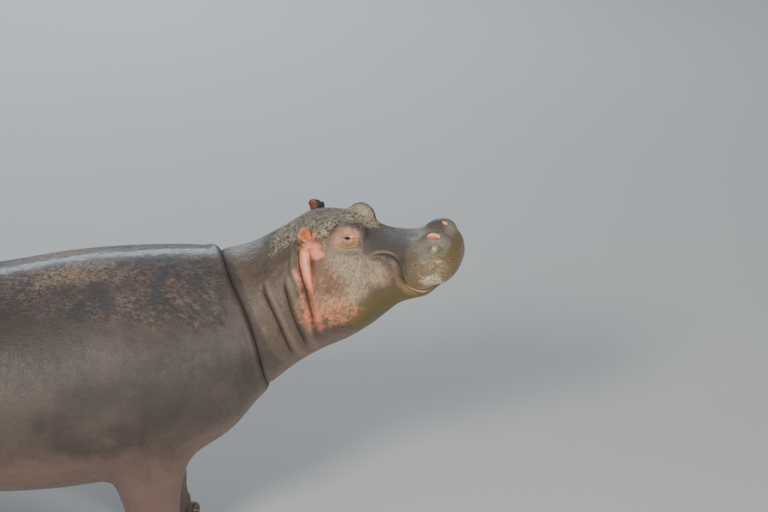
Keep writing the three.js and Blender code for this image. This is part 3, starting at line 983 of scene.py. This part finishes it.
# %% Patterns of the hide
hide = Finish("hide")
zone = {name: hide.zone(name) for name in ZONES}
broad = hide.noise(4, 5)
patches = hide.noise(5.5, 4, 0.6, distortion=0.6)
blotch = hide.noise(13, 5, 0.62, distortion=0.5)
mottle = hide.noise(30, 6, 0.65)
strands = hide.noise(58, 6, 0.66, hide.leaning((1, 1, 2.2), (0, -0.3, 0)), 1.6)
flecks = hide.noise(64, 5, 0.7, hide.leaning((1, 1, 1.7), (0, 0.6, 0)), 0.8)
streaks = hide.noise(84, 6, 0.68, hide.leaning((1, 1, 3.0), (0, -0.9, 0)), 0.7)
speck = hide.noise(170, 5, 0.75)
fine = hide.noise(190, 6, 0.8, hide.leaning((1, 1, 2.2), (0, 0.25, 0)), 0.3)
clots = hide.noise(210, 5, 0.7, distortion=0.5)


def broken(name, low=0.2, high=0.9, by=mottle, amount=0.4):
    """A zone whose edge is broken up by a noise."""
    wander = hide.times(hide.minus(by, 0.5), amount * 2)
    inside = hide.step(zone[name], 0.0, 0.2)
    return hide.times(inside, hide.step(hide.plus(zone[name], wander), low, high))


print("patterns and", len(zone), "zones take", len(hide.tree.nodes), "nodes")

# %% Colours of the trunk and neck
back = broken("back", 0.35, 0.7, mottle, 0.5)
colour = hide.mix(tone(66, 57, 52), tone(86, 75, 68), hide.step(broad, 0.35, 0.65))
colour = hide.lay(
    colour,
    ((64, 58, 57), hide.step(mottle, 0.5, 0.72, 0, 0.5)),
    ((132, 115, 100), hide.step(speck, 0.55, 0.75, 0, 0.45)),
    # mud dried on the back, dark in its gaps and sandy in two places, and painted sheen along the spine
    ((128, 109, 103), back, hide.step(streaks, 0.44, 0.64), hide.step(blotch, 0.3, 0.6), 0.75),
    ((54, 49, 51), back, hide.step(streaks, 0.48, 0.36), 0.55),
    ((60, 62, 68), back, hide.step(patches, 0.52, 0.4), 0.75),
    ((156, 132, 104), back, broken("tan_back", 0.25, 0.9, blotch, 0.9),
     hide.step(streaks, 0.36, 0.62), 0.85),
    ((98, 101, 103), broken("crest", 0.25, 1.0, blotch, 0.5), 0.5),
    # the neck, a painted highlight on its folds' rolls, and the pale underside
    ((103, 88, 72), broken("neck", 0.3, 0.7), 0.7),
    ((72, 60, 54), zone["neck"], hide.step(blotch, 0.54, 0.66), 0.5),
    ((168, 148, 124), zone["neck"], hide.step(flecks, 0.56, 0.7), 0.35),
    ((142, 120, 98), broken("ridge", 0.3, 1.0), 0.4),
    ((138, 110, 97), broken("under", 0.0, 1.0, blotch, 0.5), 0.55),
)
print("the trunk and neck bring them to", len(hide.tree.nodes))

# %% Colours of the cheek
colour = hide.lay(
    colour,
    ((138, 110, 84), broken("cheek", 0.15, 0.85), 0.85),
    ((118, 80, 58), broken("shaded", 0.2, 0.9, blotch, 0.6), 0.7),
    ((98, 80, 70), broken("cheek", 0.3, 0.9), hide.step(blotch, 0.52, 0.64), 0.5),
    # painted highlights of wet light on the wrinkles, and light and dark flecks
    ((206, 188, 158), broken("sheen", 0.15, 1.0, blotch, 0.9), hide.step(fine, 0.34, 0.66), 0.65),
    ((196, 164, 134), broken("cheek", 0.4, 1.0), hide.step(fine, 0.5, 0.7), 0.45),
    ((92, 70, 58), broken("cheek", 0.4, 1.0), hide.step(fine, 0.44, 0.34), 0.4),
    ((222, 198, 160), broken("cheek", 0.3, 0.9), hide.step(flecks, 0.53, 0.68), 0.42),
    ((92, 62, 48), broken("cheek", 0.3, 0.9), hide.step(flecks, 0.46, 0.35), 0.6),
)
print("the cheek brings them to", len(hide.tree.nodes))

# %% Colours of the muzzle and jaw
colour = hide.lay(
    colour,
    ((84, 78, 72), broken("snout", 0.3, 0.6), 0.85),
    ((126, 106, 74), broken("bumps"), 0.85),
    ((150, 145, 132), broken("grey_muzzle"), 0.5),
    ((126, 98, 62), broken("muzzle_front"), 0.65),
    ((104, 85, 76), broken("muzzle_rear"), 0.6),
    ((156, 116, 74), broken("muzzle_low", 0.2, 1.0), 0.6),
    # painted glints of wet light on the bumps, and dark and light specks over them
    ((255, 238, 202), broken("glint", 0.1, 1.0, mottle, 0.8), hide.step(clots, 0.43, 0.57), 0.9),
    ((86, 74, 54), zone["bumps"], hide.step(clots, 0.46, 0.36), 0.55),
    ((196, 172, 132), zone["bumps"], hide.step(clots, 0.55, 0.66), 0.35),
    # the olive jaw, the skin beside the mouth, and a painted highlight along the upper lip
    ((97, 86, 44), broken("jaw", 0.2, 0.95), 0.85),
    ((172, 138, 104), broken("flank_of_mouth", 0.2, 1.1, mottle, 0.6), 0.45),
    ((176, 152, 116), zone["mouth"], 0.4),
)
print("the muzzle brings them to", len(hide.tree.nodes))

# %% Colours round the eye and the ear
colour = hide.lay(
    colour,
    ((204, 156, 124), broken("orbit", 0.2, 0.9, strands, 0.5), 0.85),
    ((212, 138, 108), broken("orbit", 0.5, 1.0), hide.step(blotch, 0.44, 0.6), 0.55),
    ((158, 134, 88), broken("orbit_low", 0.2, 0.8), 0.75),
    # painted highlights beside the corners of the eye
    ((255, 222, 196), zone["lid_shine"], 0.7),
    # the pink roll behind the ear and the speckled skin below it
    ((150, 106, 84), broken("roll"), 0.7),
    ((234, 140, 108), broken("pink", 0.1, 0.6, mottle, 0.5), 0.92),
    # a paler pink where the pink is strongest, partly a painted highlight
    ((255, 182, 146), broken("pink", 0.4, 1.0, mottle, 0.5), 0.8),
    ((226, 140, 98), broken("speckled", 0.1, 1.0, blotch, 1.1), hide.step(flecks, 0.42, 0.56), 0.75),
    ((214, 178, 136), broken("speckled", 0.2, 1.0, blotch, 1.0), hide.step(fine, 0.56, 0.66), 0.6),
    # the lobe with painted highlight specks, the cup and the back of the far ear
    ((238, 122, 80), zone["bright"], 0.85),
    ((255, 214, 188), zone["bright"], hide.step(clots, 0.54, 0.62), 0.7),
    ((208, 118, 70), zone["orange"], 0.95),
    ((150, 70, 44), zone["orange"], hide.step(speck, 0.52, 0.62), 0.6),
    ((232, 152, 118), zone["cup_rim"], 0.85),
    ((62, 44, 40), zone["ear_back"], 0.85),
    # the inside of the far ear, painted a darker red than the near cup as shade
    ((134, 70, 54), zone["red"], 0.9),
)
print("the eye and the ear bring them to", len(hide.tree.nodes))

# %% Mud on the crown, and painted shade in the folds
crown = broken("crown", 0.43, 0.6, strands, 0.28)
sandy = hide.step(zone["tan"], 0.0, 1.0, 0.3, 0.95)
mud = hide.mix(tone(92, 86, 80), tone(158, 144, 122), hide.step(strands, 0.38, 0.6))
mud = hide.lay(
    mud,
    ((104, 107, 112), hide.step(blotch, 0.5, 0.58), 0.6),
    ((218, 194, 156), hide.step(strands, 0.45, 0.57), hide.step(clots, 0.3, 0.6), sandy),
    ((62, 56, 53), hide.step(strands, 0.44, 0.34), 0.75),
    ((190, 172, 142), zone["far_brow"], 0.6),
)
# painted shade for the folds and hollows, redder on the pink and orange skin
shade = hide.mix(tone(40, 29, 25), tone(112, 48, 34), hide.larger(zone["pink"], zone["orange"]))
colour = hide.lay(
    colour,
    (mud, crown, 0.94),
    ((222, 184, 140), zone["lip"], 0.75),
    ((255, 202, 158), zone["flap"]),
    ((190, 74, 56), zone["flap_low"], 0.9),
    ((110, 70, 58), zone["rim"], 0.75),
    # painted shade in the folds and hollows
    (shade, hide.step(zone["deep"], 0.45, 1.0), 0.85),
)
hide.set(Base_Color=colour)
print("the colours take", len(hide.tree.nodes), "nodes in all")

# %% [markdown]
# Relief and gloss come from the same patterns: creases where a noise crosses its own middle,
# longer ones along the neck, clotted mud, and round bumps on the lips where the bristles stand. The
# wet film is smoothest on the pink skin, the lips, the cheek and the spine, and dull on mud and in
# folds.

# %% Relief of the hide
def creases(scale, width, place=None):
    """0 along winding lines and 1 between them."""
    off = hide.sum("ABSOLUTE", hide.minus(hide.noise(scale, 2, 0.5, place, 0.4), 0.5))
    return hide.step(off, 0.0, width)


neck_creases = hide.times(creases(26, 0.16, hide.leaning((1, 1, 5), (0, -0.4, 0))), zone["neck"])
pimples = hide.times(hide.step(hide.cells(85), 0.6, 0.1), zone["bumps"])
caked = hide.times(hide.plus(strands, hide.times(clots, 0.35)), crown)
relief = None
for height, distance in (
    (creases(30, 0.06), 0.0002),
    (creases(90, 0.1), 0.0003),
    (neck_creases, 0.0012),
    (hide.noise(260, 5, 0.7), 0.0004),
    (mottle, 0.0025),
    (pimples, 0.0022),
    (caked, 0.006),
    (hide.times(fine, zone["cheek"]), 0.001),
    (hide.times(streaks, back), 0.006),
):
    relief = hide.bump(height, distance, relief)
print("with its relief the hide has", len(hide.tree.nodes), "nodes")

# %% Gloss of the hide
wet = hide.step(mottle, 0.3, 0.7, 0.4, 0.56)
shiny = hide.larger(hide.larger(zone["pink"], zone["flap"]), hide.larger(zone["bumps"], zone["sheen"]))
wet = hide.minus(wet, hide.times(shiny, 0.14))
dull = hide.times(hide.larger(crown, hide.times(back, 0.4)), 0.4)
dull = hide.plus(dull, hide.times(zone["snout"], 0.12))
dull = hide.plus(dull, hide.times(zone["deep"], 0.4))
dull = hide.minus(dull, hide.times(zone["crest"], 0.2))
hide.set(Roughness=hide.plus(wet, dull), Normal=relief)
skin.data.materials.append(hide.material)
print("the hide has", len(hide.tree.nodes), "nodes")

# %% [markdown]
# ## Eyes
# The ball is dark and moist. It is a sphere with its pole on the line of sight, whose front is
# pushed out a little as a cornea. Its pattern follows the angle from that line, stored on the
# points: a dark pupil, a brown iris and a brownish white.

# %% Colour the eye
PUPIL, IRIS = 0.32, 0.65  # where each ends, as an angle from the line of sight
ball = Finish("eye")
ring = ball.zone("from_pupil")
iris = ball.mix(tone(96, 62, 36), tone(52, 32, 20), ball.step(ball.noise(900, 3), 0.35, 0.65))
iris = ball.mix(tone(10, 8, 7), iris, ball.step(ring, PUPIL - 0.02, PUPIL + 0.02))
iris = ball.mix(iris, tone(92, 66, 56), ball.step(ring, IRIS - 0.03, IRIS + 0.03))
ball.set(Base_Color=iris, Roughness=0.45, Specular_IOR_Level=0.3)
print("the eye has", len(ball.tree.nodes), "nodes")

# %% Make both eyes
def face_outwards():
    """Turns the faces of the piece in hand outwards."""
    bpy.ops.object.mode_set(mode="EDIT")
    bpy.ops.mesh.select_all(action="SELECT")
    bpy.ops.mesh.normals_make_consistent(inside=False)
    bpy.ops.object.mode_set(mode="OBJECT")


CORNEA = 0.07  # how far the cornea stands out, as a share of the radius
look = unit(EYE_RADIUS * gaze + SLIT[0] * ahead + SLIT[1] * above)
along = unit(ahead - (ahead @ look) * look)
across = np.cross(along, look)
for name, side in (("left", 1), ("right", -1)):
    bpy.ops.object.select_all(action="DESELECT")
    bpy.ops.mesh.primitive_uv_sphere_add(segments=40, ring_count=26, radius=EYE_RADIUS)
    eye = bpy.context.object
    eye.name = eye.data.name = f"eyeball_{name}"
    eye.data.materials.append(ball.material)
    local = points_of(eye)
    angle = np.arccos(np.clip(local[:, 2] / EYE_RADIUS, -1, 1))
    local *= (1 + CORNEA * ease(0.75, 0.2, angle))[:, None]
    placed = EYE + local[:, :1] * along + local[:, 1:2] * across + local[:, 2:] * look
    set_points(eye, bend(placed * [1, side, 1]))
    marks = eye.data.attributes.new("from_pupil", "FLOAT", "POINT")
    marks.data.foreach_set("value", angle.astype(np.float32))
    face_outwards()
    bpy.ops.object.shade_smooth()
    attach(eye, "root")
    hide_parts(f"eye_{name}")
print("two eyes of", len(eye.data.polygons), "faces")

# %% [markdown]
# ## Nails
# Each toe ends in a short thick nail, blunt and rounded like a small hoof. It is modelled once,
# lying along X at the origin: the front of an ellipsoid, cut square at the root, with the rim
# bevelled. Growth ridges come from a banded texture in a Displace modifier. It is then copied to
# sixteen places.

# %% Model one nail
NAIL = np.array([0.034, 0.0285, 0.0275])  # half the ellipsoid's length, width and height
SET_BACK, ROOT = 0.017, -0.022  # the ellipsoid's middle lies behind the origin, and the cut further
bpy.ops.object.select_all(action="DESELECT")
bpy.ops.mesh.primitive_uv_sphere_add(segments=32, ring_count=18, radius=1)
nail = bpy.context.object
nail.name = "toenail"
set_points(nail, points_of(nail)[:, [2, 0, 1]] * NAIL - [SET_BACK, 0, 0])
bpy.ops.object.mode_set(mode="EDIT")
bpy.ops.mesh.select_all(action="SELECT")
bpy.ops.mesh.bisect(plane_co=(ROOT, 0, 0), plane_no=(1, 0, 0), use_fill=True, clear_inner=True)
bpy.ops.mesh.bevel(offset=0.0015, segments=2)
bpy.ops.object.mode_set(mode="OBJECT")
face_outwards()
p = points_of(nail)
p[:, 2] -= 0.006 * ease(0.0, 0.014, p[:, 0]) * ease(0.012, -0.02, p[:, 2])  # blunt lower edge
set_points(nail, p)
apply(nail, "SUBSURF", levels=1, render_levels=1)
ridges = bpy.data.textures.new("growth", "WOOD")
ridges.wood_type = "BANDNOISE"
ridges.noise_scale = 0.012
ridges.turbulence = 3
apply(nail, "DISPLACE", texture=ridges, texture_coords="LOCAL", strength=0.0012, mid_level=0.5)
bpy.ops.object.shade_smooth()
print("one nail of", len(nail.data.polygons), "faces")

# %% Colour the horn
horn = Finish("horn")
bands = horn.noise(60, 5, 0.6, horn.stretched((1, 1, 3)))
scratches = horn.noise(300, 5, 0.7, horn.stretched((1, 1, 4)))
horn_colour = horn.mix(tone(74, 64, 58), tone(128, 114, 98), horn.step(bands, 0.35, 0.7))
horn_colour = horn.mix(horn_colour, tone(150, 134, 112), horn.step(horn.noise(220, 4), 0.58, 0.7, 0, 0.6))
horn.set(Base_Color=horn_colour, Roughness=horn.step(bands, 0.3, 0.7, 0.42, 0.6),
         Normal=horn.bump(scratches, 0.0008))
nail.data.materials.append(horn.material)
print("the horn has", len(horn.tree.nodes), "nodes")

# %% Copy the nail to sixteen toes
TOE_ANGLES = (-62, -21, 21, 62)  # degrees from straight ahead
for foot_name in FEET:
    for i, angle in enumerate(TOE_ANGLES, 1):
        copy = nail.copy()
        copy.data = nail.data.copy()
        copy.name = copy.data.name = f"toenail_{foot_name}_{i}"
        bpy.context.collection.objects.link(copy)
        c, s = math.cos(math.radians(angle)), math.sin(math.radians(angle))
        low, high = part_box(f"nail_{foot_name}_{i}")
        turned = points_of(nail) @ np.array([[c, s, 0], [-s, c, 0], [0, 0, 1]])
        set_points(copy, turned + (np.array(low) + np.array(high)) / 2)
        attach(copy, "root")
        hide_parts(f"nail_{foot_name}_{i}")
bpy.data.objects.remove(nail)
print(len(FEET) * len(TOE_ANGLES), "nails")

# %% [markdown]
# ## Bristles
# The hide is nearly bare. Stiff bristles stand on the lips, finer ones fringe the ears, and the
# tail ends in a brush of thick wires. Hair curves would be lost when the model leaves this
# program, so each bristle is a thin three-sided spike of mesh. One is modelled and copied onto
# points picked from the skin.

# %% Model one bristle
bpy.ops.object.select_all(action="DESELECT")
bpy.ops.mesh.primitive_cone_add(vertices=3, radius1=1, radius2=0.25, depth=1, location=(0, 0, 0.5))
spike = bpy.context.object
bpy.ops.object.mode_set(mode="EDIT")
for height in (0.35, 0.7):
    bpy.ops.mesh.select_all(action="SELECT")
    bpy.ops.mesh.bisect(plane_co=(0, 0, height), plane_no=(0, 0, 1))
bpy.ops.object.mode_set(mode="OBJECT")
print("a bristle has", len(spike.data.vertices), "points and", len(spike.data.polygons), "faces")

# %% Colour the bristles
bristle = Finish("bristle")
browns = bristle.step(bristle.noise(300, 3), 0.4, 0.6)
bristle.set(Base_Color=bristle.mix(tone(60, 46, 38), tone(128, 100, 74), browns), Roughness=0.5)
print("the bristles have", len(bristle.tree.nodes), "nodes")

# %% Set bristles into the skin
ROOT_DEPTH = 0.001  # how deep a bristle is set, in metres
skin_points, skin_out = points_of(skin), normals_of(skin)
straight = points * flip


def bristles(name, roots, lean, length, thick, curl):
    """One mesh of many copies of the spike: `roots` are numbers of skin points, `lean` the way
    the tips fall, lengths and thicknesses in metres."""
    chance = np.random.default_rng(7)
    shape_points = points_of(spike)
    faces = [tuple(face.vertices) for face in spike.data.polygons]
    count, each = len(roots), len(shape_points)
    rise = unit(skin_out[roots] + lean + chance.normal(0, 0.16, (count, 3)))
    side_way = unit(np.cross(rise, [0.31, 0.87, 0.39]))
    other = np.cross(rise, side_way)
    long = length * chance.uniform(0.6, 1.15, count)
    t = shape_points[:, 2]
    verts = (skin_points[roots] - skin_out[roots] * ROOT_DEPTH)[:, None]
    verts = verts + rise[:, None] * (long[:, None] * t)[:, :, None]
    verts = verts + (curl * long)[:, None, None] * (t ** 2)[None, :, None] * lean[:, None]
    verts = verts + side_way[:, None] * (thick * shape_points[:, 0])[None, :, None]
    verts = verts + other[:, None] * (thick * shape_points[:, 1])[None, :, None]
    mesh = bpy.data.meshes.new(name)
    all_faces = [tuple(k * each + i for i in face) for k in range(count) for face in faces]
    mesh.from_pydata(verts.reshape(-1, 3), [], all_faces)
    mesh.update()
    lay_out(mesh, straight[roots], shape_points)
    piece = bpy.data.objects.new(name, mesh)
    bpy.context.collection.objects.link(piece)
    mesh.materials.append(bristle.material)
    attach(piece, "root")
    print(name, "of", count, "bristles")


def lay_out(mesh, home, shape_points):
    """The bristles' UV map: each lies where its root does on the unrolled skin."""
    each = len(shape_points)
    laid = mesh.uv_layers.new(name="OFBake")
    u = (home[:, 0] + 1400) / 3200
    v = 0.5 + np.arctan2(home[:, 1], home[:, 2] - AXIS_Z) / (2 * math.pi)
    corner = np.empty(len(mesh.loops), int)
    mesh.loops.foreach_get("vertex_index", corner)
    owner, local = corner // each, corner % each
    spread = np.stack([0.0015 * shape_points[local, 0], 0.003 * (shape_points[local, 2] - 0.5)], 1)
    laid.data.foreach_set("uv", (np.stack([u[owner], v[owner]], 1) + spread).ravel())


print("roots can be picked from", len(skin_points), "points")

# %% Pick the roots
chance = np.random.default_rng(3)


def pick(mask, count):
    """As many points as asked for, drawn from those where the mask is true."""
    found = np.flatnonzero(mask)
    return chance.choice(found, min(count, len(found)), replace=False)


def leaning_all(way, roots):
    """The same lean for every root."""
    return np.tile(way, (len(roots), 1))


two_places = bend(np.array([[1500.0, 0, 1300], [1600.0, 0, 1300]]))
face_way = unit(two_places[1] - two_places[0])
on_lips = (ZONES["bumps"] > 0.5) & (abs(off_mouth) > 10) & (up < -10) & (ZONES["flap"] < 0.1)
rim_of_ear = (leaf > 0.8) & (ease(0.5, 0.25, abs(out @ np.array([0.45, 0.89, 0.0]))) > 0.5)
tail_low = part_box("tail")[0]
on_tail = (skin_points[:, 0] < tail_low.x + 0.09) & (skin_points[:, 2] < tail_low.z + 0.10)
roots = pick(on_lips, 420)
bristles("lip_bristles", roots, leaning_all([0, 0, -0.35], roots) - 0.1 * face_way,
         length=0.016, thick=0.0005, curl=0.3)
roots = pick(rim_of_ear, 260)
bristles("ear_bristles", roots, leaning_all([0.1, 0, 0.25], roots), length=0.014, thick=0.0004, curl=0.4)
roots = pick(on_tail, 360)
bristles("tail_bristles", roots, leaning_all([-0.1, 0, -1.6], roots), length=0.05, thick=0.0007, curl=0.2)
bpy.data.objects.remove(spike)

# %% [markdown]
# ## The studio
# A plain pale floor, a pale sky, and three broad soft lights: a key from the upper left in front,
# a fill from the right in front, and a cool broad one from behind that draws the sheen along the
# back.

# %% Floor
FLOOR_RADIUS = 70
bpy.ops.object.select_all(action="DESELECT")
bpy.ops.mesh.primitive_circle_add(vertices=96, radius=FLOOR_RADIUS, fill_type="NGON")
floor = bpy.context.object
floor.name = "floor"
paper = Finish("paper")
paper.set(Base_Color=paper.mix(tone(196, 196, 194), tone(202, 202, 200), paper.noise(0.8, 3)), Roughness=0.9)
floor.data.materials.append(paper.material)
print("a floor", 2 * FLOOR_RADIUS, "m across")

# %% Sky and lights
world = bpy.data.worlds.new("sky")
bpy.context.scene.world = world
world.use_nodes = True
sky = world.node_tree.nodes["Background"].inputs
sky["Color"].default_value = (0.80, 0.86, 0.94, 1)
sky["Strength"].default_value = 0.32


LIT = np.array([0.3, 0, 0.9])  # what the lights point at


def soft_light(name, place, size, power, colour):
    """A round light that points at the middle of the animal."""
    lamp = bpy.data.lights.new(name, "AREA")
    lamp.shape = "DISK"
    lamp.size, lamp.energy, lamp.color = size, power, colour
    light = bpy.data.objects.new(name, lamp)
    bpy.context.collection.objects.link(light)
    x, y, z = LIT - place
    light.location = place
    light.rotation_euler = (math.atan2(math.hypot(x, y), -z), 0, math.atan2(-x, y))
    light.visible_camera = False


soft_light("key", (-3.0, -7.0, 6.0), size=2.0, power=640, colour=(1.0, 0.96, 0.90))
soft_light("fill", (5.5, -7.0, 3.2), size=2.5, power=300, colour=(1.0, 0.98, 0.94))
soft_light("sky", (0.5, 8.0, 4.6), size=7.0, power=360, colour=(0.80, 0.90, 1.0))
print(len(bpy.data.lights), "lights")

# %% Camera
AZIMUTH, ELEVATION, DISTANCE = math.radians(-9), math.radians(22), 14.0
WIDE = 3.07  # metres across the picture at the aim
SENSOR = 36
eye_low, eye_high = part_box("eye_right")
FROM_EYE = [0.14853, 0.05183, -0.10185]  # the aim, from the middle of the right eye
aim = (np.array(eye_low) + np.array(eye_high)) / 2 + FROM_EYE
back_way = np.array([math.sin(AZIMUTH) * math.cos(ELEVATION), -math.cos(AZIMUTH) * math.cos(ELEVATION),
                     math.sin(ELEVATION)])
lens = bpy.data.cameras.new("camera")
lens.sensor_width = SENSOR
lens.lens = SENSOR * DISTANCE / WIDE
lens.clip_end = 200
camera = bpy.data.objects.new("camera", lens)
bpy.context.collection.objects.link(camera)
camera.location = aim + back_way * DISTANCE
camera.rotation_euler = (math.pi / 2 - ELEVATION, 0, AZIMUTH)
bpy.context.scene.camera = camera
print("lens", round(lens.lens), "mm, aimed at", aim.round(3))
